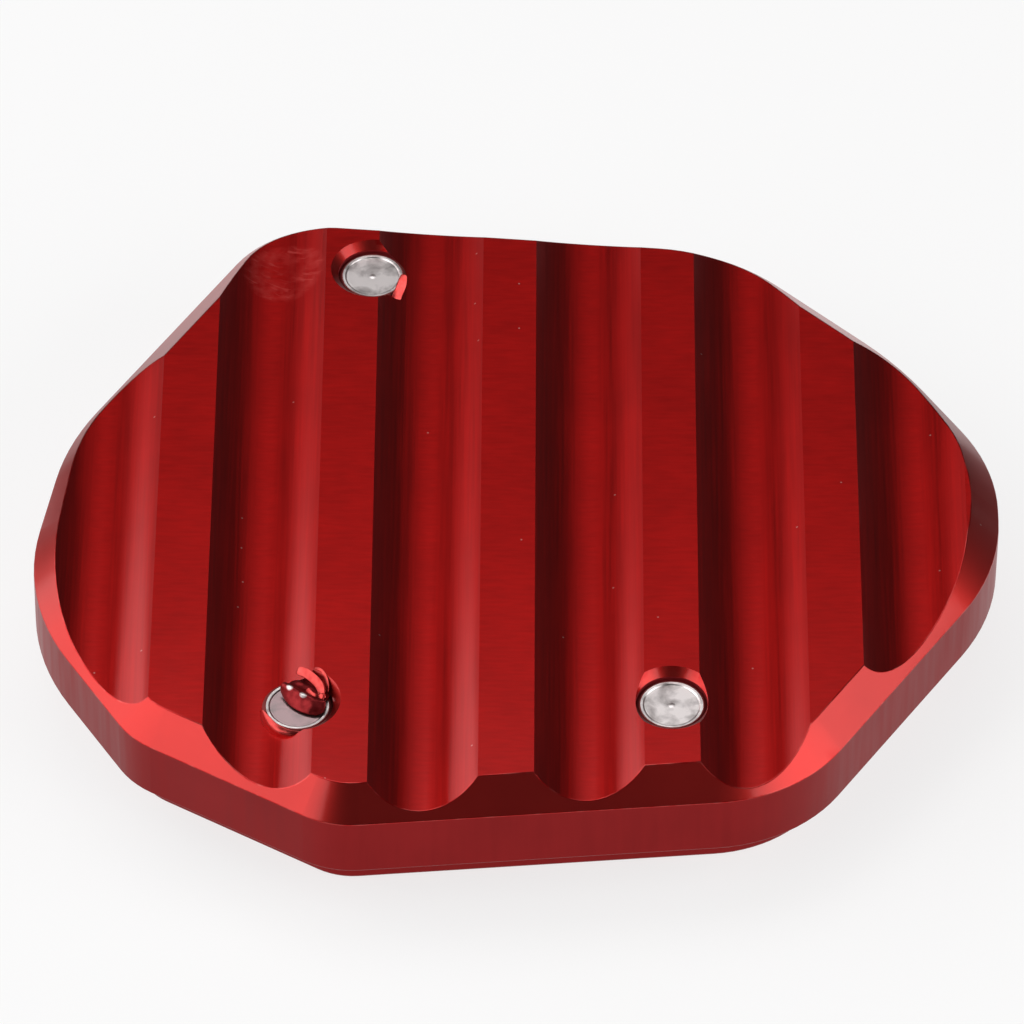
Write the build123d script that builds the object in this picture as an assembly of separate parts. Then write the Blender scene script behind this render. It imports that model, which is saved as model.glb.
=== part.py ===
from build123d import *
import os

# Kickstand foot enlarger for a motorbike's side stand, in millimetres.
# A grooved base plate and a C-shaped clamp plate trap the stand's own foot in a pocket between them.
# It lies with its grooved ground face up, as it is shown, on the clamp's flat outer face at z = 0.

# Base plate: how far the outline's corners reach before they are rounded, seen from the ground face
plate_left = -42.8
plate_right = 41.8
plate_front = -36.8
plate_back = 36.9
left_end_step = 3.4
front_edge_rise = 3.8
back_edge_fall = 3.3

# Corners of the outline as x, y and corner radius
plate_corners = [
    (plate_left + left_end_step, 8.7, 24),
    (plate_left, -10.4, 22),
    (-32.6, -26.8, 8),
    (-15.6, plate_front, 8),
    (23.8, plate_front + front_edge_rise, 14),
    (plate_right, -5.9, 20),
    (plate_right, 6.7, 18),
    (33.5, 19.6, 33),
    (18.7, plate_back - back_edge_fall, 17),
    (-22.0, plate_back, 10),
]
plate_thickness = 8.5
ground_chamfer = 2.5
lower_edge_break = 0.4

# Tread grooves, cut along Y right across the ground face by a ball-ended cutter
groove_count = 6
groove_pitch = 14.0
groove_width = 9.3
groove_depth = 1.9
groove_middle_x = -0.8

# Pocket in the hidden side for the stand's foot
pocket_centre = (0.0, 2.0)
pocket_length = 60.0
pocket_width = 32.0
pocket_depth = 4.2
pocket_corner = 10.0

# Clamp plate: its lip overlaps the foot, and its gap lets the stand's leg out to the right.
# It is inset from the base and set back from the front edge.
clamp_thickness = 4.5
clamp_inset = 2.2
clamp_setback = 1.2
clamp_edge_break = 0.5
clamp_lip = 4.0
clamp_gap_corner = 6.0
clamp_arm_reach = 26.0
clamp_arm_corner = 2.5

# Countersunk M6 screws, from the clamp's outer face into tapped holes in the base.
# Their ends stop below the ground face, which makes them 12 mm long.
right_screw_inset = 13.0
back_screw_inset = 8.2
left_screw_inset = 12.5
screw_places = [
    (13.2, plate_front + right_screw_inset),
    (-13.0, plate_back - back_screw_inset),
    (-18.5, plate_front + left_screw_inset),
]
screw_diameter = 6.0
screw_end_depth = 0.9
head_diameter = 11.3
head_rim = 0.65
head_recess = 0.1
socket_width = 4.0
socket_depth = 2.0
tip_chamfer = 0.25
tip_rim_width = 0.3
tip_dish_depth = 0.1
tip_nub_diameter = 0.6
mouth_chamfer = 0.65

# Clearances, on the radius
thread_clearance = 0.05
seat_clearance = 0.05
passing_clearance = 0.3

# How far a cutter runs past the face that it cuts through
overrun = 1.0

plate_bottom = clamp_thickness
plate_top = plate_bottom + plate_thickness
screw_radius = screw_diameter / 2
head_radius = head_diameter / 2
head_shoulder = head_recess + head_rim
tip_z = plate_top - screw_end_depth


def plate_outline():
    points = [(x, y) for x, y, radius in plate_corners]
    radii = [radius for x, y, radius in plate_corners]
    return make_face(FilletPolyline(*points, radius=radii, close=True))


# A solid turned about Z from points given as radius and z
def turned(profile):
    return revolve(make_face(Polyline(*[(r, 0, z) for r, z in profile], close=True)), Axis.Z)


def at_screws(shape):
    return [Pos(x, y) * shape for x, y in screw_places]


def groove_cutters():
    cutter_radius = (groove_width**2 / 4 + groove_depth**2) / (2 * groove_depth)
    box = plate_outline().bounding_box()
    length = box.size.Y + 2 * overrun
    cutter = Rot(90, 0, 0) * Cylinder(cutter_radius, length)
    first_x = groove_middle_x - groove_pitch * (groove_count - 1) / 2
    height = plate_top - groove_depth + cutter_radius
    return [Pos(first_x + i * groove_pitch, box.center().Y, height) * cutter for i in range(groove_count)]


def tapped_hole():
    bore = screw_radius + thread_clearance
    low = plate_bottom - overrun
    high = plate_top + overrun
    shoulder = plate_top - mouth_chamfer
    mouth = bore + high - shoulder
    return turned([(0, low), (bore, low), (bore, shoulder), (mouth, high), (0, high)])


def base_plate():
    plate = Pos(0, 0, plate_bottom) * extrude(plate_outline(), plate_thickness)
    plate = chamfer(plate.faces().sort_by(Axis.Z)[-1].edges(), ground_chamfer)
    plate = chamfer(plate.faces().sort_by(Axis.Z)[0].edges(), lower_edge_break)
    pocket = extrude(RectangleRounded(pocket_length, pocket_width, pocket_corner), pocket_depth + overrun)
    plate -= Pos(*pocket_centre, plate_bottom - overrun) * pocket
    plate -= groove_cutters()
    plate -= at_screws(tapped_hole())
    return plate


def countersunk_hole():
    mouth = head_radius + seat_clearance
    passing = screw_radius + passing_clearance
    neck = head_shoulder + mouth - passing
    high = clamp_thickness + overrun
    return turned(
        [
            (0, -overrun),
            (mouth, -overrun),
            (mouth, head_shoulder),
            (passing, neck),
            (passing, high),
            (0, high),
        ]
    )


def clamp_outline():
    return Pos(0, clamp_setback) * offset(plate_outline(), amount=-clamp_inset)


# What is cut from the clamp: the gap for the leg, and all that lies beyond the arms
def clamp_opening():
    box = clamp_outline().bounding_box()
    gap_start = pocket_centre[0] - pocket_length / 2 + clamp_lip
    gap_length = clamp_arm_reach + clamp_gap_corner + overrun - gap_start
    gap = RectangleRounded(gap_length, pocket_width - 2 * clamp_lip, clamp_gap_corner)
    beyond_arms = Rectangle(box.size.X, box.size.Y + 2 * overrun, align=(Align.MIN, Align.CENTER))
    opening = Pos(clamp_arm_reach, box.center().Y) * beyond_arms
    opening += Pos(gap_start + gap_length / 2, pocket_centre[1]) * gap
    arm_ends = opening.vertices().group_by(Axis.X)[-2].sort_by(Axis.Y)
    return fillet(arm_ends[1:3], clamp_arm_corner)


# The outline and the opening each have their own broken edge, so the arms may end anywhere along the outline
def clamp_plate():
    clamp = extrude(clamp_outline(), clamp_thickness)
    clamp = chamfer(clamp.faces().sort_by(Axis.Z)[0].edges(), clamp_edge_break)
    opening = clamp_opening()
    flare = extrude(offset(opening, amount=clamp_edge_break), overrun + clamp_edge_break)
    flare = chamfer(flare.faces().sort_by(Axis.Z)[-1].edges(), clamp_edge_break)
    clamp -= extrude(opening, clamp_thickness + overrun)
    clamp -= Pos(0, 0, -overrun) * flare
    clamp -= at_screws(countersunk_hole())
    return clamp


def clamp_screw():
    tip_radius = screw_radius - tip_chamfer
    dish_radius = tip_radius - tip_rim_width
    dish_z = tip_z - tip_dish_depth
    nub_radius = tip_nub_diameter / 2
    body = turned(
        [
            (0, head_recess),
            (head_radius, head_recess),
            (head_radius, head_shoulder),
            (screw_radius, head_shoulder + head_radius - screw_radius),
            (screw_radius, tip_z - tip_chamfer),
            (tip_radius, tip_z),
            (dish_radius, tip_z),
            (dish_radius - tip_dish_depth, dish_z),
            (nub_radius, dish_z),
            (0, dish_z + tip_dish_depth / 2),
        ]
    )
    socket = extrude(RegularPolygon(socket_width / 2, 6, major_radius=False), socket_depth)
    return body - Pos(0, 0, head_recess) * socket


def main():
    os.makedirs("parts", exist_ok=True)
    export_step(base_plate(), "parts/base_plate.step")
    export_step(clamp_plate(), "parts/clamp_plate.step")
    export_step(Compound(children=at_screws(clamp_screw())), "parts/clamp_screws.step")


main()
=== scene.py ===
import math
import bmesh
import bpy
from mathutils import Matrix, Vector
from mathutils.bvhtree import BVHTree
from mathutils.interpolate import poly_3d_calc


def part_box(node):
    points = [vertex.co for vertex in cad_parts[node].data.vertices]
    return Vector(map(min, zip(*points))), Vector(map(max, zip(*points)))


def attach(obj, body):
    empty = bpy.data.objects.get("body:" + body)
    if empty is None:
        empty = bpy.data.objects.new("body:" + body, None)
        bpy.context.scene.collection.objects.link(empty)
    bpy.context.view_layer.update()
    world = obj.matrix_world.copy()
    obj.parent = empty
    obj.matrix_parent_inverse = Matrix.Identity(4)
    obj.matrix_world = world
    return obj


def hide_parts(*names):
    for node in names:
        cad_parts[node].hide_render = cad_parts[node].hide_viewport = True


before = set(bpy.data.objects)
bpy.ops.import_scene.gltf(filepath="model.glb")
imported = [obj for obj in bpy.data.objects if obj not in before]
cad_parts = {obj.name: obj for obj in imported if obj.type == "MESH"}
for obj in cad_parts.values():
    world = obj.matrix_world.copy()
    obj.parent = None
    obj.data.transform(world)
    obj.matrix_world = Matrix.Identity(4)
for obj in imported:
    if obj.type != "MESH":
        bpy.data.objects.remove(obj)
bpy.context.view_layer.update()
mm = 0.001
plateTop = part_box("base_plate")[1].z
weldDistance = 0.0002 * mm  # points nearer than this are one
print("frame loaded:", ", ".join(sorted(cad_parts)))


# Where each screw's axis stands, read from the three solids of the screw node
def screwAxes():
    mesh = bmesh.new()
    mesh.from_mesh(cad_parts["clamp_screws"].data)
    bmesh.ops.remove_doubles(mesh, verts=mesh.verts, dist=weldDistance)
    unseen = set(mesh.verts)
    found = []
    while unseen:
        island = set()
        front = {unseen.pop()}
        while front:
            island |= front
            front = {edge.other_vert(vertex) for vertex in front for edge in vertex.link_edges} - island
        unseen -= island
        xs = [vertex.co.x for vertex in island]
        ys = [vertex.co.y for vertex in island]
        found.append(Vector(((min(xs) + max(xs)) / 2, (min(ys) + max(ys)) / 2)))
    mesh.free()
    return found


axes = screwAxes()
swarfAxis = min(axes, key=lambda axis: axis.x)  # the front left screw, with the swarf on it


def hexToLinear(code):
    channels = [int(code[i:i + 2], 16) / 255 for i in (1, 3, 5)]
    return [c / 12.92 if c <= 0.04045 else ((c + 0.055) / 1.055) ** 2.4 for c in channels] + [1]


# Adds a node. A setting is a property of the node or else an unlinked socket.
# A link feeds a socket from another socket, or from the first output of a node.
def addNode(tree, kind, settings=None, links=None):
    node = tree.nodes.new(kind)
    for name, value in (settings or {}).items():
        if isinstance(name, str) and hasattr(node, name):
            setattr(node, name, value)
        else:
            node.inputs[name].default_value = value
    for socket, source in (links or {}).items():
        output = source.outputs[0] if isinstance(source, bpy.types.Node) else source
        tree.links.new(output, node.inputs[socket])
    return node


def newMaterial(name):
    material = bpy.data.materials.new(name)
    material.use_nodes = True
    material.node_tree.nodes.clear()
    return material, material.node_tree


# A Mix node's sockets: the two numbers or the two colours that go in, and the colour that comes out
numberA, numberB = 2, 3
colourA, colourB = 6, 7
mixedColour = 2
flatten = (1, 1, 0)  # scale that leaves out the height

# Red anodised aluminium, milled: bright metal under a film of dyed oxide, so the reflections are deep red.
# The cutter's lines make them satin, and the sealed skin adds a fainter, sharper and colourless gloss.
anodised = {
    "film": "#a60f0d",
    "chamferHighlightFilm": "#ae2622",  # painted highlight: a paler red on the 45 degree faces, so that they shine brighter
    "coat": 0.42,
    "coatRoughness": 0.13,
    # By the upward share of the normal: what gets no painted chamfer highlight, what has cutter lines, a
    # land, what holds dust
    "offChamferHighlight": {"From Min": 0.7095, "From Max": 0.7135},
    "onTread": {"From Min": 0.71, "From Max": 0.76},
    "onLand": {"From Min": 0.985, "From Max": 0.998},
    "onTop": {"From Min": 0.25, "From Max": 0.6},
    # On a land the length along X and the pitch, in a groove the pitch and the length along Y.
    # Both are drawn coarser than the real feed lines, which are too fine to show.
    "landLine": (2 * mm, 0.3 * mm, 0.3 * mm),
    "grooveLine": (0.2 * mm, 14 * mm, 14 * mm),
    "plainLine": 0.5,  # middle height, where there are no lines
    "lineDepth": 0.002 * mm,
    "lineTone": {"From Min": 0.25, "From Max": 0.75, "To Min": 0.87, "To Max": 1.13},
    "lineRoughness": {"From Min": 0.3, "From Max": 0.7, "To Min": 0.33, "To Max": 0.39},
    "toneSize": 8 * mm,
    "placeTone": {"From Min": 0.3, "From Max": 0.7, "To Min": 0.93, "To Max": 1.07},
    # Scuffed ring, where the film is worn thin
    "rubbed": "#bd4a46",
    "rubbedRoughness": 0.3,  # added where rubbed
    "scuffCentre": (-20.9 * mm, 29.7 * mm, 0),
    "scuffReach": (3.4 * mm, 3.4 * mm, 1),
    "inRing": {"From Min": 1.1, "From Max": 0.88},
    "toRim": {"From Min": 0.35, "From Max": 0.85, "To Min": 0.35},
    "hazeSize": 0.9 * mm,
    "hazy": {"From Min": 0.35, "From Max": 0.65, "To Max": 0.3},
    "scratchSize": (1.5 * mm, 0.42 * mm, 1),
    "scratchTurn": (0, 0, math.radians(-24)),
    "scratchBend": 0.8,
    "scratched": {"From Min": 0.58, "From Max": 0.74, "To Max": 0.65},
    "dust": "#c9a9a4",
    "speckSpacing": 4 * mm,
    "speckRadius": 0.1 * mm,
    "speckCover": 0.5,
    "speckShare": 0.12,
}


def redAnodisedMilled():
    material, tree = newMaterial("redAnodisedMilled")
    place = addNode(tree, "ShaderNodeTexCoord")
    spot = place.outputs["Object"]
    facing = addNode(tree, "ShaderNodeSeparateXYZ", links={0: place.outputs["Normal"]}).outputs["Z"]

    # Cutter lines run along X on the lands and along Y in the grooves; chamfers and walls are smooth
    landWay = addNode(tree, "ShaderNodeMapping", {
        "vector_type": "TEXTURE", "Scale": anodised["landLine"]}, {"Vector": spot})
    landLines = addNode(tree, "ShaderNodeTexNoise", {"Scale": 1, "Detail": 3}, {"Vector": landWay})
    grooveWay = addNode(tree, "ShaderNodeMapping", {
        "vector_type": "TEXTURE", "Scale": anodised["grooveLine"]}, {"Vector": spot})
    grooveLines = addNode(tree, "ShaderNodeTexNoise", {"Scale": 1, "Detail": 3}, {"Vector": grooveWay})
    onLand = addNode(tree, "ShaderNodeMapRange", anodised["onLand"], {"Value": facing})
    bothLines = addNode(tree, "ShaderNodeMix", links={
        "Factor": onLand, numberA: grooveLines, numberB: landLines})
    onTread = addNode(tree, "ShaderNodeMapRange", anodised["onTread"], {"Value": facing})
    lines = addNode(tree, "ShaderNodeMix", {numberA: anodised["plainLine"]}, {
        "Factor": onTread, numberB: bothLines})

    # The film's depth varies a little from line to line and from place to place
    lineTone = addNode(tree, "ShaderNodeMapRange", anodised["lineTone"], {"Value": lines})
    tone = addNode(tree, "ShaderNodeTexNoise", {
        "Scale": 1 / anodised["toneSize"], "Detail": 4}, {"Vector": spot})
    placeTone = addNode(tree, "ShaderNodeMapRange", anodised["placeTone"], {"Value": tone})
    depth = addNode(tree, "ShaderNodeMath", {"operation": "MULTIPLY"}, {0: lineTone, 1: placeTone})
    # Painted highlight: faces steeper than the grooves' sides, which are the 45 degree chamfers and hole
    # mouths, take the paler chamfer red
    offChamferHighlight = addNode(tree, "ShaderNodeMapRange", anodised["offChamferHighlight"], {"Value": facing})
    film = addNode(tree, "ShaderNodeMix", {
        "data_type": "RGBA",
        colourA: hexToLinear(anodised["chamferHighlightFilm"]),
        colourB: hexToLinear(anodised["film"])}, {"Factor": offChamferHighlight}).outputs[mixedColour]
    dyed = addNode(tree, "ShaderNodeMix", {"data_type": "RGBA", "blend_type": "MULTIPLY", "Factor": 1}, {
        colourA: film, colourB: depth}).outputs[mixedColour]

    # Scuffed ring beside the back hole: a haze and short scratches, strongest near its rim
    patch = addNode(tree, "ShaderNodeMapping", {
        "vector_type": "TEXTURE", "Location": anodised["scuffCentre"], "Scale": anodised["scuffReach"]},
        {"Vector": spot})
    fromPatch = addNode(tree, "ShaderNodeVectorMath", {"operation": "LENGTH"}, {0: patch}).outputs["Value"]
    inRing = addNode(tree, "ShaderNodeMapRange", anodised["inRing"], {"Value": fromPatch})
    toRim = addNode(tree, "ShaderNodeMapRange", anodised["toRim"], {"Value": fromPatch})
    inPatch = addNode(tree, "ShaderNodeMath", {"operation": "MULTIPLY"}, {0: inRing, 1: toRim})
    haze = addNode(tree, "ShaderNodeTexNoise", {
        "Scale": 1 / anodised["hazeSize"], "Detail": 5}, {"Vector": spot})
    hazy = addNode(tree, "ShaderNodeMapRange", anodised["hazy"], {"Value": haze})
    scratchWay = addNode(tree, "ShaderNodeMapping", {
        "vector_type": "TEXTURE", "Rotation": anodised["scratchTurn"], "Scale": anodised["scratchSize"]},
        {"Vector": spot})
    scratch = addNode(tree, "ShaderNodeTexNoise", {
        "Scale": 1, "Detail": 1, "Distortion": anodised["scratchBend"]}, {"Vector": scratchWay})
    scratched = addNode(tree, "ShaderNodeMapRange", anodised["scratched"], {"Value": scratch})
    marks = addNode(tree, "ShaderNodeMath", {"operation": "ADD"}, {0: hazy, 1: scratched})
    rubbed = addNode(tree, "ShaderNodeMath", {"operation": "MULTIPLY", "use_clamp": True}, {
        0: marks, 1: inPatch})
    worn = addNode(tree, "ShaderNodeMix", {"data_type": "RGBA", colourB: hexToLinear(anodised["rubbed"])}, {
        "Factor": rubbed, colourA: dyed}).outputs[mixedColour]

    # Specks of dust on the upper face
    spread = addNode(tree, "ShaderNodeTexVoronoi", {
        "voronoi_dimensions": "2D", "Scale": 1 / anodised["speckSpacing"]}, {"Vector": spot})
    speckSize = anodised["speckRadius"] / anodised["speckSpacing"]
    grain = addNode(tree, "ShaderNodeMapRange", {
        "From Min": speckSize, "From Max": speckSize / 2, "To Max": anodised["speckCover"]},
        {"Value": spread.outputs["Distance"]})
    lot = addNode(tree, "ShaderNodeSeparateColor", links={0: spread.outputs["Color"]})
    chosen = addNode(tree, "ShaderNodeMath", {
        "operation": "LESS_THAN", 1: anodised["speckShare"]}, {0: lot})
    onTop = addNode(tree, "ShaderNodeMapRange", anodised["onTop"], {"Value": facing})
    lying = addNode(tree, "ShaderNodeMath", {"operation": "MULTIPLY"}, {0: chosen, 1: onTop})
    dusty = addNode(tree, "ShaderNodeMath", {"operation": "MULTIPLY"}, {0: grain, 1: lying})
    surface = addNode(tree, "ShaderNodeMix", {"data_type": "RGBA", colourB: hexToLinear(anodised["dust"])}, {
        "Factor": dusty, colourA: worn}).outputs[mixedColour]

    lineRoughness = addNode(tree, "ShaderNodeMapRange", anodised["lineRoughness"], {"Value": lines})
    roughness = addNode(tree, "ShaderNodeMath", {
        "operation": "MULTIPLY_ADD", 1: anodised["rubbedRoughness"]}, {0: rubbed, 2: lineRoughness})
    relief = addNode(tree, "ShaderNodeBump", {"Distance": anodised["lineDepth"]}, {"Height": lines})
    shader = addNode(tree, "ShaderNodeBsdfPrincipled", {
        "Metallic": 1.0, "Coat Weight": anodised["coat"], "Coat Roughness": anodised["coatRoughness"]}, {
        "Base Color": surface, "Roughness": roughness, "Normal": relief})
    addNode(tree, "ShaderNodeOutputMaterial", links={"Surface": shader})
    return material


# The same film on a broken edge, where handling has polished it and rubbed it thin in places
edgeFilm = {
    "film": "#ab1311",
    "rubbed": "#b8423e",
    "roughness": 0.3,
    "patchSize": 1.5 * mm,
    "rubbedPatch": {"From Min": 0.45, "From Max": 0.7},
}


def redAnodisedEdge():
    material, tree = newMaterial("redAnodisedEdge")
    spot = addNode(tree, "ShaderNodeTexCoord").outputs["Object"]
    patches = addNode(tree, "ShaderNodeTexNoise", {
        "Scale": 1 / edgeFilm["patchSize"], "Detail": 3}, {"Vector": spot})
    rubbed = addNode(tree, "ShaderNodeMapRange", edgeFilm["rubbedPatch"], {"Value": patches})
    film = addNode(tree, "ShaderNodeMix", {
        "data_type": "RGBA",
        colourA: hexToLinear(edgeFilm["film"]),
        colourB: hexToLinear(edgeFilm["rubbed"])}, {"Factor": rubbed}).outputs[mixedColour]
    shader = addNode(tree, "ShaderNodeBsdfPrincipled", {
        "Metallic": 1.0, "Roughness": edgeFilm["roughness"], "Coat Weight": anodised["coat"],
        "Coat Roughness": anodised["coatRoughness"]}, {"Base Color": film})
    addNode(tree, "ShaderNodeOutputMaterial", links={"Surface": shader})
    return material


# Red anodised aluminium, side-milled: a dull film without the faces' sealed gloss, with faint upright lines
# from the cutter's teeth, and its red painted darker than the faces' as shade
wall = {
    "film": "#8b1e1f",
    "line": (0.9 * mm, 0.9 * mm, 12 * mm),  # pitch round the wall, then length up it
    "toneSize": 7 * mm,
    "filmDepth": {"From Min": 0.6, "From Max": 1.4, "To Min": 0.88, "To Max": 1.12},
    "lineRoughness": {"From Min": 0.3, "From Max": 0.7, "To Min": 0.36, "To Max": 0.46},
    "steepest": 0.3,  # a face with a smaller upward share is a wall
}


def redAnodisedSideMilledShaded():
    material, tree = newMaterial("redAnodisedSideMilledShaded")
    spot = addNode(tree, "ShaderNodeTexCoord").outputs["Object"]
    way = addNode(tree, "ShaderNodeMapping", {
        "vector_type": "TEXTURE", "Scale": wall["line"]}, {"Vector": spot})
    lines = addNode(tree, "ShaderNodeTexNoise", {"Scale": 1, "Detail": 3}, {"Vector": way})
    tone = addNode(tree, "ShaderNodeTexNoise", {
        "Scale": 1 / wall["toneSize"], "Detail": 3}, {"Vector": spot})
    both = addNode(tree, "ShaderNodeMath", {"operation": "ADD"}, {0: lines, 1: tone})
    depth = addNode(tree, "ShaderNodeMapRange", wall["filmDepth"], {"Value": both})
    film = addNode(tree, "ShaderNodeMix", {
        "data_type": "RGBA", "blend_type": "MULTIPLY", "Factor": 1, colourA: hexToLinear(wall["film"])},
        {colourB: depth}).outputs[mixedColour]
    roughness = addNode(tree, "ShaderNodeMapRange", wall["lineRoughness"], {"Value": lines})
    shader = addNode(tree, "ShaderNodeBsdfPrincipled", {"Metallic": 1.0}, {
        "Base Color": film, "Roughness": roughness})
    addNode(tree, "ShaderNodeOutputMaterial", links={"Surface": shader})
    return material


# Red anodised aluminium, tapped: the thread's flanks scatter the light, so a bore shows a dull, deep red
# between the screw and the hole's mouth, with painted shade that makes the roots darker than the crests
tapped = {
    "crest": "#b82a2e",
    # root: painted shade in the thread's roots
    "root": "#741519",
    "metallic": 0.25,
    "roughness": 0.55,
    "pitch": 1 * mm,
    "depth": 0.12 * mm,
    "reach": 3.2 * mm,  # a wall this near to a screw's axis is a bore
}


def redAnodisedTapped():
    material, tree = newMaterial("redAnodisedTapped")
    spot = addNode(tree, "ShaderNodeTexCoord").outputs["Object"]
    bandPeriod = math.pi / 10  # of the wave texture at a scale of 1
    thread = addNode(tree, "ShaderNodeTexWave", {
        "bands_direction": "Z", "wave_profile": "TRI", "Scale": bandPeriod / tapped["pitch"]},
        {"Vector": spot}).outputs["Fac"]
    # Painted shade: the root red in the wave's low bands, the crest red in its high ones
    film = addNode(tree, "ShaderNodeMix", {
        "data_type": "RGBA",
        colourA: hexToLinear(tapped["root"]),
        colourB: hexToLinear(tapped["crest"])}, {"Factor": thread}).outputs[mixedColour]
    relief = addNode(tree, "ShaderNodeBump", {"Distance": tapped["depth"]}, {"Height": thread})
    shader = addNode(tree, "ShaderNodeBsdfPrincipled", {
        "Metallic": tapped["metallic"], "Roughness": tapped["roughness"]}, {
        "Base Color": film, "Normal": relief})
    addNode(tree, "ShaderNodeOutputMaterial", links={"Surface": shader})
    return material


# Zinc-plated steel, turned: bright grey, with fine rings round the screw's own axis and dull smudges, and
# painted shade with a painted red reflection where the thread starts
steel = {
    "face": "#ece4e3",
    "ringPitch": 0.16 * mm,  # drawn coarser than the lathe's feed, which is too fine to show
    "ringDepth": 0.002 * mm,
    "ringRoughness": {"From Min": 0.3, "From Max": 0.7, "To Min": 0.28, "To Max": 0.42},
    "smudge": "#948b8a",
    "smudgeSize": 1.7 * mm,
    "smudgeBend": 0.3,
    "smudged": {"From Min": 0.44, "From Max": 0.7, "To Max": 0.95},
    # Painted shade and painted red reflection of the swarf, in the dished end under it, inside its bright rim
    "swarfShade": "#a8868a",
    "swarfShadeCentre": (*swarfAxis, 0),
    "swarfShadeReach": (3 * mm, 3 * mm, 1),
    "swarfShaded": {"From Min": 1.2, "From Max": 0.9, "To Max": 0.8},
    "dishRadius": 2.42 * mm,
    "thread": "#8c4644",     # painted shade in the gap round the thread, and a painted red reflection of the bore
    "threadRoughness": 0.3,  # added on the thread
    "endRadius": 2.66 * mm,  # the bright end inside the thread
    "threadFrom": 6 * mm,    # the heads lie below this height
}


def turnedSteel():
    material, tree = newMaterial("turnedSteel")
    fromAxis = addNode(tree, "ShaderNodeAttribute", {"attribute_name": "fromAxis"}).outputs["Vector"]
    flat = addNode(tree, "ShaderNodeMapping", {"Scale": flatten}, {"Vector": fromAxis})
    radius = addNode(tree, "ShaderNodeVectorMath", {"operation": "LENGTH"}, {0: flat}).outputs["Value"]
    height = addNode(tree, "ShaderNodeSeparateXYZ", links={0: fromAxis}).outputs["Z"]
    rings = addNode(tree, "ShaderNodeTexNoise", {
        "noise_dimensions": "1D", "Scale": 1 / steel["ringPitch"], "Detail": 1}, {"W": radius})

    # The painted shade under the swarf and the smudges differ from screw to screw
    spot = addNode(tree, "ShaderNodeTexCoord").outputs["Object"]
    place = addNode(tree, "ShaderNodeMapping", {
        "vector_type": "TEXTURE", "Location": steel["swarfShadeCentre"], "Scale": steel["swarfShadeReach"]},
        {"Vector": spot})
    flatPlace = addNode(tree, "ShaderNodeMapping", {"Scale": flatten}, {"Vector": place})
    fromSwarfShade = addNode(tree, "ShaderNodeVectorMath", {"operation": "LENGTH"}, {0: flatPlace})
    swarfShaded = addNode(tree, "ShaderNodeMapRange", steel["swarfShaded"], {"Value": fromSwarfShade.outputs["Value"]})
    inDish = addNode(tree, "ShaderNodeMath", {"operation": "LESS_THAN", 1: steel["dishRadius"]}, {0: radius})
    shadeUnderSwarf = addNode(tree, "ShaderNodeMath", {"operation": "MULTIPLY"}, {0: swarfShaded, 1: inDish})
    faceWithSwarfShade = addNode(tree, "ShaderNodeMix", {
        "data_type": "RGBA",
        colourA: hexToLinear(steel["face"]),
        colourB: hexToLinear(steel["swarfShade"])}, {"Factor": shadeUnderSwarf}).outputs[mixedColour]
    smudges = addNode(tree, "ShaderNodeTexNoise", {
        "Scale": 1 / steel["smudgeSize"], "Detail": 4, "Distortion": steel["smudgeBend"]}, {"Vector": spot})
    smudged = addNode(tree, "ShaderNodeMapRange", steel["smudged"], {"Value": smudges})
    face = addNode(tree, "ShaderNodeMix", {"data_type": "RGBA", colourB: hexToLinear(steel["smudge"])}, {
        "Factor": smudged, colourA: faceWithSwarfShade}).outputs[mixedColour]

    # Painted shade and painted red reflection on the thread beyond the bright end
    beyondEnd = addNode(tree, "ShaderNodeMath", {
        "operation": "GREATER_THAN", 1: steel["endRadius"]}, {0: radius})
    aboveHead = addNode(tree, "ShaderNodeMath", {
        "operation": "GREATER_THAN", 1: steel["threadFrom"]}, {0: height})
    onShadedThread = addNode(tree, "ShaderNodeMath", {"operation": "MULTIPLY"}, {0: beyondEnd, 1: aboveHead})
    shade = addNode(tree, "ShaderNodeMix", {"data_type": "RGBA", colourB: hexToLinear(steel["thread"])}, {
        "Factor": onShadedThread, colourA: face}).outputs[mixedColour]
    ringRoughness = addNode(tree, "ShaderNodeMapRange", steel["ringRoughness"], {"Value": rings})
    roughness = addNode(tree, "ShaderNodeMath", {
        "operation": "MULTIPLY_ADD", 1: steel["threadRoughness"]}, {0: onShadedThread, 2: ringRoughness})
    relief = addNode(tree, "ShaderNodeBump", {"Distance": steel["ringDepth"]}, {"Height": rings})
    shader = addNode(tree, "ShaderNodeBsdfPrincipled", {"Metallic": 1.0}, {
        "Base Color": shade, "Roughness": roughness, "Normal": relief})
    addNode(tree, "ShaderNodeOutputMaterial", links={"Surface": shader})
    return material


# Torn aluminium left at two holes, under the same red film. The side that slid along the cutter is smooth,
# with its red painted paler as highlight; the side that tore is rough, with its red painted darker as shade;
# and two spots on the ridge are painted glints, given as bare metal.
torn = {
    "smoothSide": {"film": "#c85450", "deep": "#9c2423", "roughness": 0.3, "dentDepth": 0.05 * mm},
    "roughSide": {"film": "#9c3032", "deep": "#621317", "roughness": 0.45, "dentDepth": 0.2 * mm},
    "streakSize": 0.45 * mm,
    "dentSize": 0.8 * mm,
    "paintedGlint": "#eeeae8",
    "paintedGlintPoints": [(-19.2 * mm, -23.2 * mm, 13.35 * mm), (-18.0 * mm, -24.1 * mm, 13.35 * mm)],
    "paintedGlintFade": {"From Min": 0.4 * mm, "From Max": 0.16 * mm},  # distance from a point
}


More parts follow.
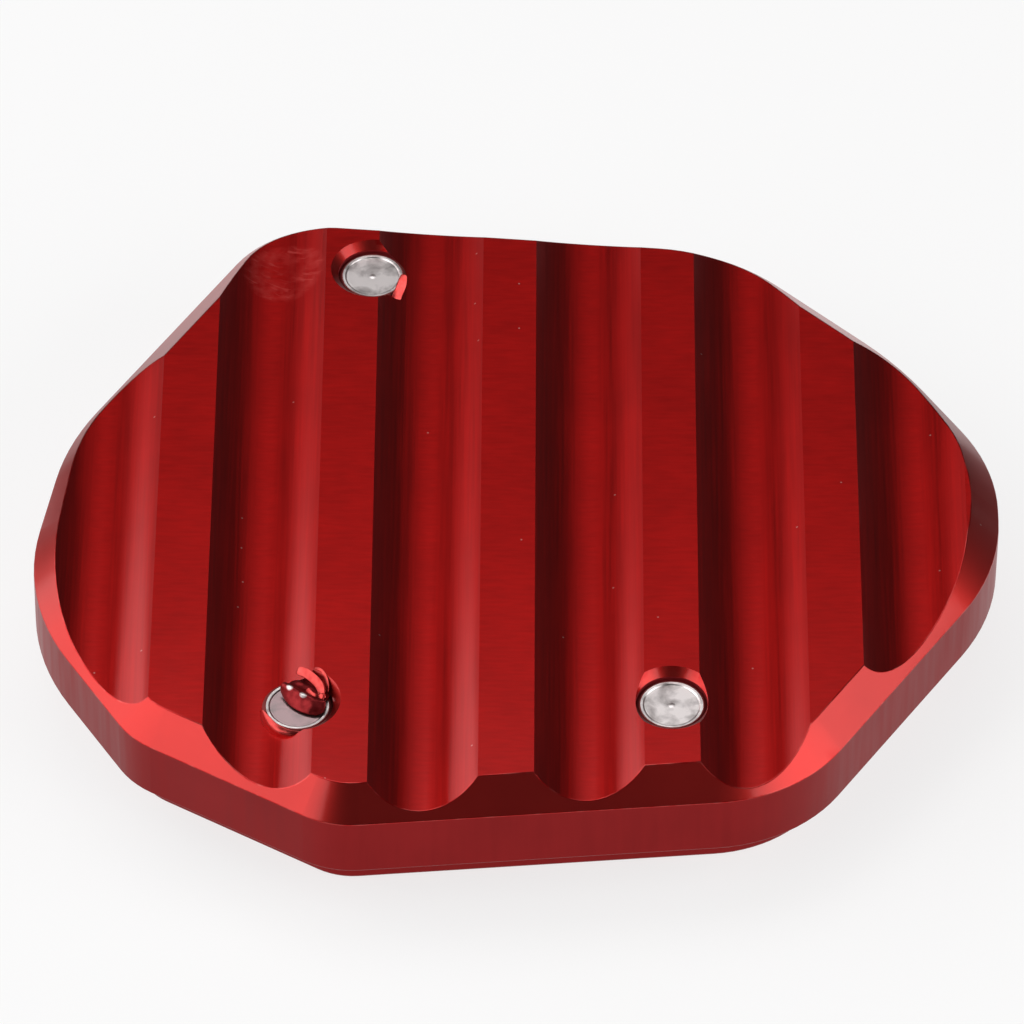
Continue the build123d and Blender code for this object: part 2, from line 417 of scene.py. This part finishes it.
def redAnodisedTorn(side):
    material, tree = newMaterial("redAnodisedTorn" + side[0].upper() + side[1:])
    spot = addNode(tree, "ShaderNodeTexCoord").outputs["Object"]
    streaks = addNode(tree, "ShaderNodeTexNoise", {
        "Scale": 1 / torn["streakSize"], "Detail": 3}, {"Vector": spot})
    surface = addNode(tree, "ShaderNodeMix", {
        "data_type": "RGBA",
        colourA: hexToLinear(torn[side]["film"]),
        colourB: hexToLinear(torn[side]["deep"])}, {"Factor": streaks}).outputs[mixedColour]
    # Painted highlight: two near-white spots at the ridge's glints, given as bare metal
    for point in torn["paintedGlintPoints"]:
        away = addNode(tree, "ShaderNodeVectorMath", {"operation": "DISTANCE", 1: point}, {0: spot})
        paintedGlint = addNode(tree, "ShaderNodeMapRange", torn["paintedGlintFade"], {"Value": away.outputs["Value"]})
        surface = addNode(tree, "ShaderNodeMix", {"data_type": "RGBA", colourB: hexToLinear(torn["paintedGlint"])}, {
            "Factor": paintedGlint, colourA: surface}).outputs[mixedColour]
    dents = addNode(tree, "ShaderNodeTexNoise", {
        "Scale": 1 / torn["dentSize"], "Detail": 0}, {"Vector": spot})
    relief = addNode(tree, "ShaderNodeBump", {"Distance": torn[side]["dentDepth"]}, {"Height": dents})
    shader = addNode(tree, "ShaderNodeBsdfPrincipled", {
        "Metallic": 1.0, "Roughness": torn[side]["roughness"]}, {
        "Base Color": surface, "Normal": relief})
    addNode(tree, "ShaderNodeOutputMaterial", links={"Surface": shader})
    return material


plateRed = redAnodisedMilled()
edgeRed = redAnodisedEdge()
wallRedShaded = redAnodisedSideMilledShaded()
boreRed = redAnodisedTapped()
screwSteel = turnedSteel()
tornSmoothLit = redAnodisedTorn("smoothSide")
tornRoughShaded = redAnodisedTorn("roughSide")
print("materials made")

edgeSlot, wallSlot, boreSlot = 1, 2, 3  # material slots of a plate, after its faces
touching = 0.03 * mm                    # as near as this counts as on the surface
flatAngle = math.radians(0.3)           # faces that meet at less than this are one
alongGroove = 0.999                     # least share of Y in the run of a groove's long side


# Corner normals for a softened copy. A face takes those of the source face that it lies on,
# and the narrow strip along a broken edge takes its neighbours', so that it shades as a small round.
def exactNormals(data, source):
    tree = BVHTree.FromPolygons([v.co for v in source.vertices], [p.vertices for p in source.polygons])
    normals = [None] * len(data.loops)
    atVertex = {}
    for polygon in sorted(data.polygons, key=lambda p: p.material_index):
        for loop in polygon.loop_indices:
            vertex = data.loops[loop].vertex_index
            if polygon.material_index == edgeSlot and vertex in atVertex:
                normals[loop] = atVertex[vertex].normalized()
                continue
            near = tree.find_nearest_range(data.vertices[vertex].co, touching)
            spot, _, index, _ = max(near, key=lambda hit: hit[1].dot(polygon.normal))
            face = source.polygons[index]
            weights = poly_3d_calc([source.vertices[i].co for i in face.vertices], spot)
            corners = [source.corner_normals[i].vector for i in face.loop_indices]
            normals[loop] = sum((w * n for w, n in zip(weights, corners)), Vector()).normalized()
            atVertex[vertex] = atVertex.get(vertex, Vector()) + normals[loop]
    return normals


# A copy of a node with its sharp edges broken, which keeps the node's exact surface normals
def softenEdges(nodeName, pieceName, setting):
    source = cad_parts[nodeName].data
    mesh = bmesh.new()
    mesh.from_mesh(source)
    bmesh.ops.remove_doubles(mesh, verts=mesh.verts, dist=weldDistance)
    bmesh.ops.dissolve_limit(mesh, angle_limit=flatAngle, verts=mesh.verts, edges=mesh.edges)
    sharp = []
    for edge in mesh.edges:
        start, end = [vertex.co for vertex in edge.verts]
        middle = (start + end) / 2
        inHole = any((middle.xy - axis).length < setting["holeKeepOut"] for axis in axes)
        grooveSide = abs((end - start).normalized().y) > alongGroove and middle.z > setting["keenAbove"]
        if edge.calc_face_angle() > setting["angle"] and not inHole and not grooveSide:
            sharp.append(edge)
    bmesh.ops.bevel(mesh, geom=sharp, offset=setting["edgeBreak"], offset_type="OFFSET", segments=1,
                    profile=0.5, affect="EDGES", clamp_overlap=False, material=edgeSlot)
    data = bpy.data.meshes.new(pieceName)
    mesh.to_mesh(data)
    mesh.free()
    for polygon in data.polygons:
        polygon.use_smooth = True
    data.normals_split_custom_set(exactNormals(data, source))
    piece = bpy.data.objects.new(pieceName, data)
    bpy.context.scene.collection.objects.link(piece)
    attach(piece, "root")
    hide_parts(nodeName)
    return piece


# Faces get the milled red, the strips along broken edges the edge red, and walls and lower edges the wall
# red, which is painted darker as shade
def dressPlate(piece):
    for material in (plateRed, edgeRed, wallRedShaded):
        piece.data.materials.append(material)
    for polygon in piece.data.polygons:
        steep = abs(polygon.normal.z) < wall["steepest"]
        lowerEdge = polygon.material_index == edgeSlot and polygon.normal.z < 0
        if steep or lowerEdge:
            polygon.material_index = wallSlot


# The tapped bores among a piece's walls
def dressBores(piece):
    piece.data.materials.append(boreRed)
    for polygon in piece.data.polygons:
        fromAxis = min((polygon.center.xy - axis).length for axis in axes)
        if polygon.material_index == wallSlot and fromAxis < tapped["reach"]:
            polygon.material_index = boreSlot


plateEdges = {
    "edgeBreak": 0.07 * mm,
    "angle": math.radians(18),
    "holeKeepOut": 3.8 * mm,
    "keenAbove": plateTop - touching,  # the grooves' long sides keep the cutter's keen edge
}
plate = softenEdges("base_plate", "groovedPlate", plateEdges)
dressPlate(plate)
dressBores(plate)
print("grooved plate:", len(plate.data.polygons), "faces")

clampEdges = {"edgeBreak": 0.12 * mm, "angle": math.radians(18), "holeKeepOut": 0, "keenAbove": plateTop}
clamp = softenEdges("clamp_plate", "clampPlate", clampEdges)
dressPlate(clamp)
print("clamp plate:", len(clamp.data.polygons), "faces")


# Each point's place from its own screw's axis, for the turning rings
def markAxes(piece):
    mark = piece.data.attributes.new("fromAxis", "FLOAT_VECTOR", "POINT")
    for vertex in piece.data.vertices:
        axis = min(axes, key=lambda a: (vertex.co.xy - a).length)
        mark.data[vertex.index].vector = vertex.co - axis.to_3d()


screwEdges = {"edgeBreak": 0.03 * mm, "angle": math.radians(25), "holeKeepOut": 0, "keenAbove": plateTop}
screws = softenEdges("clamp_screws", "clampScrews", screwEdges)
screws.data.materials.append(screwSteel)
screws.data.materials.append(screwSteel)  # for the broken edges
markAxes(screws)
print("clamp screws:", len(screws.data.polygons), "faces")

sheetSmoothing = 3  # subdivisions of a thin sheet
ribbonArch = 0.1    # how far a ribbon's middle is raised, as a share of its width


# Thin metal from grids of points in millimetres, smoothed and then given its thickness
def thinSheet(name, grids, thickness, finish):
    mesh = bmesh.new()
    for grid in grids:
        rows = [[mesh.verts.new([c * mm for c in point]) for point in row] for row in grid]
        for near, far in zip(rows, rows[1:]):
            for i in range(len(near) - 1):
                mesh.faces.new((near[i], near[i + 1], far[i + 1], far[i]))
    data = bpy.data.meshes.new(name)
    mesh.to_mesh(data)
    mesh.free()
    for polygon in data.polygons:
        polygon.use_smooth = True
    data.materials.append(finish)
    piece = bpy.data.objects.new(name, data)
    bpy.context.scene.collection.objects.link(piece)
    smoothing = piece.modifiers.new("smoothing", "SUBSURF")
    smoothing.levels = sheetSmoothing
    smoothing.render_levels = sheetSmoothing
    skin = piece.modifiers.new("skin", "SOLIDIFY")
    skin.thickness = thickness
    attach(piece, "root")
    return piece


# Rows across a ribbon whose upper edge follows a path in millimetres.
# It slopes down at 45 degrees on its inner side and is a little arched.
def ribbonRows(path, width):
    points = [Vector(p) for p in path]
    arch = Vector((0, 0, ribbonArch * width))
    rows = []
    for i, edge in enumerate(points):
        ahead = points[min(i + 1, len(points) - 1)] - points[max(i - 1, 0)]
        inward = Vector((-ahead.y, ahead.x, 0)).normalized()
        slope = (inward + Vector((0, 0, -1))) * width * math.sqrt(0.5)
        rows.append([edge, edge + slope / 2 + arch, edge + slope])
    return rows


# Swarf on the front left screw: a curled flap, and ribbons that run back from its right end. In millimetres.
swarf = {
    "thickness": 0.1 * mm,
    "flap": [
        [(-20.0, -22.9, 12.3), (-19.4, -24.2, 12.2), (-18.6, -24.9, 12.2),
         (-17.8, -25.4, 12.2), (-16.9, -25.6, 12.2), (-16.2, -25.3, 12.3)],
        [(-20.0, -22.8, 12.8), (-19.3, -23.7, 12.8), (-18.4, -24.4, 12.8),
         (-17.6, -24.9, 12.8), (-16.8, -25.1, 12.7), (-16.1, -25.0, 12.7)],
        [(-19.8, -22.6, 13.2), (-19.2, -23.2, 13.4), (-18.4, -23.9, 13.4),
         (-17.7, -24.3, 13.3), (-16.9, -24.6, 13.2), (-16.1, -24.6, 13.0)],
        [(-19.4, -22.4, 13.0), (-18.9, -22.8, 13.1), (-18.1, -23.4, 13.1),
         (-17.4, -23.8, 13.0), (-16.7, -24.1, 12.9), (-16.1, -24.3, 12.8)],
        [(-19.4, -22.2, 12.5), (-18.7, -22.4, 12.3), (-18.0, -22.8, 12.5),
         (-17.3, -23.1, 12.3), (-16.6, -23.4, 12.4), (-15.9, -23.8, 12.4)],
        [(-19.1, -21.7, 12.3), (-18.5, -21.8, 12.5), (-17.8, -22.1, 12.3),
         (-17.0, -22.4, 12.5), (-16.4, -22.7, 12.2), (-15.8, -23.2, 12.2)],
        [(-18.9, -21.4, 12.2), (-18.3, -21.35, 12.2), (-17.6, -21.5, 12.2),
         (-16.9, -21.8, 12.2), (-16.3, -22.2, 12.1), (-15.7, -22.9, 12.1)],
    ],
    "hook": [(-16.2, -24.4, 12.7), (-16.1, -23.3, 13.1), (-16.4, -22.4, 13.2),
             (-17.0, -21.7, 13.3), (-17.7, -20.9, 13.2), (-18.4, -20.5, 13.0)],
    "hookWidth": 0.8,
    "lobe": [(-15.8, -23.2, 12.7), (-15.8, -22.2, 12.9), (-16.1, -21.3, 13.0),
             (-16.6, -20.7, 13.1), (-17.1, -20.6, 13.0)],
    "lobeWidth": 0.6,
    "tail": [(-16.3, -23.5, 12.9), (-16.7, -24.0, 13.1), (-17.2, -23.7, 13.1), (-17.5, -22.9, 12.9)],
    "tailWidth": 0.5,
}
# The flap takes the rough side's red, painted darker as shade; the ribbons, burr and lip take the smooth
# side's red, painted paler as highlight
swarfFlap = thinSheet("swarfFlap", [swarf["flap"]], swarf["thickness"], tornRoughShaded)
ribbons = [ribbonRows(swarf[name], swarf[name + "Width"]) for name in ("hook", "lobe", "tail")]
swarfCurl = thinSheet("swarfCurl", ribbons, swarf["thickness"], tornSmoothLit)

# Burr beside the back screw: a flake that stands up from the groove. Points in millimetres, foot first.
burr = {
    "thickness": 0.1 * mm,
    "right": [(-10.5, 25.9, 11.5), (-10.4, 26.2, 11.7), (-10.2, 26.7, 11.9),
              (-9.9, 27.3, 12.3), (-9.9, 28.0, 12.9)],
    "middle": [(-10.9, 25.8, 11.7), (-10.8, 26.1, 12.0), (-10.6, 26.7, 12.2),
               (-10.3, 27.3, 12.6), (-10.2, 28.0, 13.1)],
    "left": [(-11.2, 25.9, 11.9), (-11.2, 26.2, 12.2), (-10.9, 26.7, 12.5),
             (-10.7, 27.2, 12.8), (-10.5, 27.8, 13.1)],
}
burrRows = [burr["right"], burr["middle"], burr["left"]]
holeBurr = thinSheet("holeBurr", [burrRows], burr["thickness"], tornSmoothLit)

# Lip raised round the front left screw where the groove passes it, in millimetres about the screw's axis.
# Its foot is a radius and a height. Each turn is an angle in degrees from +X towards +Y,
# then the radius and height of the lip's shoulder and of its top.
lip = {
    "thickness": 0.08 * mm,
    "foot": (3.2, 11.0),
    "turns": [(186, 3.12, 11.9, 3.0, 12.0), (198, 3.2, 12.0, 2.8, 12.25), (214, 3.3, 11.95, 2.76, 12.3),
              (230, 3.4, 11.9, 2.78, 12.25), (246, 3.45, 11.9, 2.86, 12.2), (260, 3.4, 11.95, 2.94, 12.15),
              (272, 3.28, 12.0, 3.0, 12.12), (284, 3.15, 12.05, 3.05, 12.1), (296, 3.1, 12.1, 3.08, 12.1)],
}


def lipRows():
    rows = [[], [], []]
    for angle, shoulder, shoulderHeight, top, topHeight in lip["turns"]:
        away = Vector((math.cos(math.radians(angle)), math.sin(math.radians(angle))))
        section = (lip["foot"], (shoulder, shoulderHeight), (top, topHeight))
        for row, (radius, height) in zip(rows, section):
            row.append((*(swarfAxis / mm + away * radius), height))
    return rows


holeLip = thinSheet("holeLip", [lipRows()], lip["thickness"], tornSmoothLit)
print("torn metal:", swarfFlap.name, swarfCurl.name, holeBurr.name, holeLip.name)

# Matt white card. What the lens and the metal see of it is lifted towards white, and it keeps its shadow.
floorCard = {
    "size": 3000 * mm,
    "height": -0.02 * mm,  # just clear of the clamp's flat face, so that the two don't share a plane
    "white": "#f6f5f5",
    "lift": 0.75,
}


def matteFloor():
    material, tree = newMaterial("matteCard")
    card = addNode(tree, "ShaderNodeBsdfDiffuse", {"Color": hexToLinear(floorCard["white"])})
    white = addNode(tree, "ShaderNodeEmission", {"Strength": 1})
    ray = addNode(tree, "ShaderNodeLightPath")
    mirrored = addNode(tree, "ShaderNodeMath", {"operation": "MAXIMUM"}, {
        0: ray.outputs["Is Glossy Ray"], 1: ray.outputs["Is Transmission Ray"]})
    seen = addNode(tree, "ShaderNodeMath", {"operation": "MAXIMUM"}, {
        0: ray.outputs["Is Camera Ray"], 1: mirrored})
    lift = addNode(tree, "ShaderNodeMath", {"operation": "MULTIPLY", 1: floorCard["lift"]}, {0: seen})
    shader = addNode(tree, "ShaderNodeMixShader", links={0: lift, 1: card, 2: white})
    addNode(tree, "ShaderNodeOutputMaterial", links={"Surface": shader})
    return material


bpy.ops.mesh.primitive_plane_add(size=floorCard["size"], location=(0, 0, floorCard["height"]))
floor = bpy.context.object
floor.name = "floor"
floor.data.materials.append(matteFloor())

# Black cards that lie behind on both sides, out of the frame.
# Only the metal sees them, as the dark ends of its chamfer.
blackCards = {
    "dye": "#0b0b0b",
    "side": 500 * mm,
    "height": 0.5 * mm,
    "frontLeftCorners": {"rightCard": (48 * mm, 38 * mm), "leftCard": (-550 * mm, 45 * mm)},
}


def matteBlack():
    material, tree = newMaterial("blackCard")
    card = addNode(tree, "ShaderNodeBsdfDiffuse", {"Color": hexToLinear(blackCards["dye"])})
    addNode(tree, "ShaderNodeOutputMaterial", links={"Surface": card})
    return material


def addBlackCard(name, corner, finish):
    left, front = corner
    right = left + blackCards["side"]
    back = front + blackCards["side"]
    corners = [(left, front), (right, front), (right, back), (left, back)]
    data = bpy.data.meshes.new(name)
    data.from_pydata([(x, y, blackCards["height"]) for x, y in corners], [], [(0, 1, 2, 3)])
    data.materials.append(finish)
    card = bpy.data.objects.new(name, data)
    bpy.context.scene.collection.objects.link(card)
    card.visible_camera = False
    card.visible_diffuse = False
    card.visible_shadow = False


cardBlack = matteBlack()
for name, corner in blackCards["frontLeftCorners"].items():
    addBlackCard(name, corner, cardBlack)
print("floor and cards laid")

ambient = {"colour": (1, 1, 1, 1), "strength": 0.08}
world = bpy.data.worlds.new("studio")
bpy.context.scene.world = world
world.use_nodes = True
background = world.node_tree.nodes["Background"]
background.inputs["Color"].default_value = ambient["colour"]
background.inputs["Strength"].default_value = ambient["strength"]

# Soft light: a wide bank on the left, a box on the right, and two high ones behind.
# Azimuth is in degrees from behind the object towards its right, and distances and sizes are in metres.
softboxes = {
    "leftBank": {"azimuth": 269, "elevation": 28, "distance": 0.52, "size": (1.0, 0.49), "radiance": 2.3},
    "rightBox": {"azimuth": 113, "elevation": 23.5, "distance": 0.38, "size": (0.39, 0.26), "radiance": 2.9},
    "highBox": {"azimuth": 358, "elevation": 63.5, "distance": 1.12, "size": (0.86, 0.58), "radiance": 1.5},
    "backLeftBox": {"azimuth": 315, "elevation": 65, "distance": 0.97, "size": (0.9, 0.32), "radiance": 1.2},
}


def addSoftbox(name, setting):
    lamp = bpy.data.lights.new(name, "AREA")
    lamp.shape = "RECTANGLE"
    lamp.size, lamp.size_y = setting["size"]
    lamp.energy = setting["radiance"] * math.pi * lamp.size * lamp.size_y
    holder = bpy.data.objects.new(name, lamp)
    turn = math.radians(setting["azimuth"])
    rise = math.radians(setting["elevation"])
    aim = Vector((math.sin(turn) * math.cos(rise), math.cos(turn) * math.cos(rise), math.sin(rise)))
    holder.location = Vector((0, 0, plateTop)) + aim * setting["distance"]
    holder.rotation_euler = aim.to_track_quat("Z", "Y").to_euler()
    bpy.context.scene.collection.objects.link(holder)


for name, setting in softboxes.items():
    addSoftbox(name, setting)
print("lights:", ", ".join(softboxes))

# The photograph's view: the point at the middle of the frame, and where the lens stands from it
view = {
    "target": Vector((-0.45 * mm, -1.8 * mm, plateTop)),
    "distance": 747.7 * mm,
    "elevation": math.radians(45),
    "azimuth": math.radians(-0.1),
    "roll": math.radians(0.555),
    "lens": 304.2,
    "nearest": 50 * mm,
    "farthest": 10000 * mm,
}


def addCamera():
    data = bpy.data.cameras.new("camera")
    data.lens = view["lens"]
    data.clip_start = view["nearest"]
    data.clip_end = view["farthest"]
    camera = bpy.data.objects.new("camera", data)
    bpy.context.scene.collection.objects.link(camera)
    turn = view["azimuth"]
    rise = view["elevation"]
    back = Vector((math.sin(turn) * math.cos(rise), -math.cos(turn) * math.cos(rise), math.sin(rise)))
    aim = back.to_track_quat("Z", "Y").to_matrix() @ Matrix.Rotation(view["roll"], 3, "Z")
    camera.matrix_world = Matrix.Translation(view["target"] + back * view["distance"]) @ aim.to_4x4()
    bpy.context.scene.camera = camera


addCamera()
bpy.context.scene.view_settings.view_transform = "Standard"
print("camera placed")
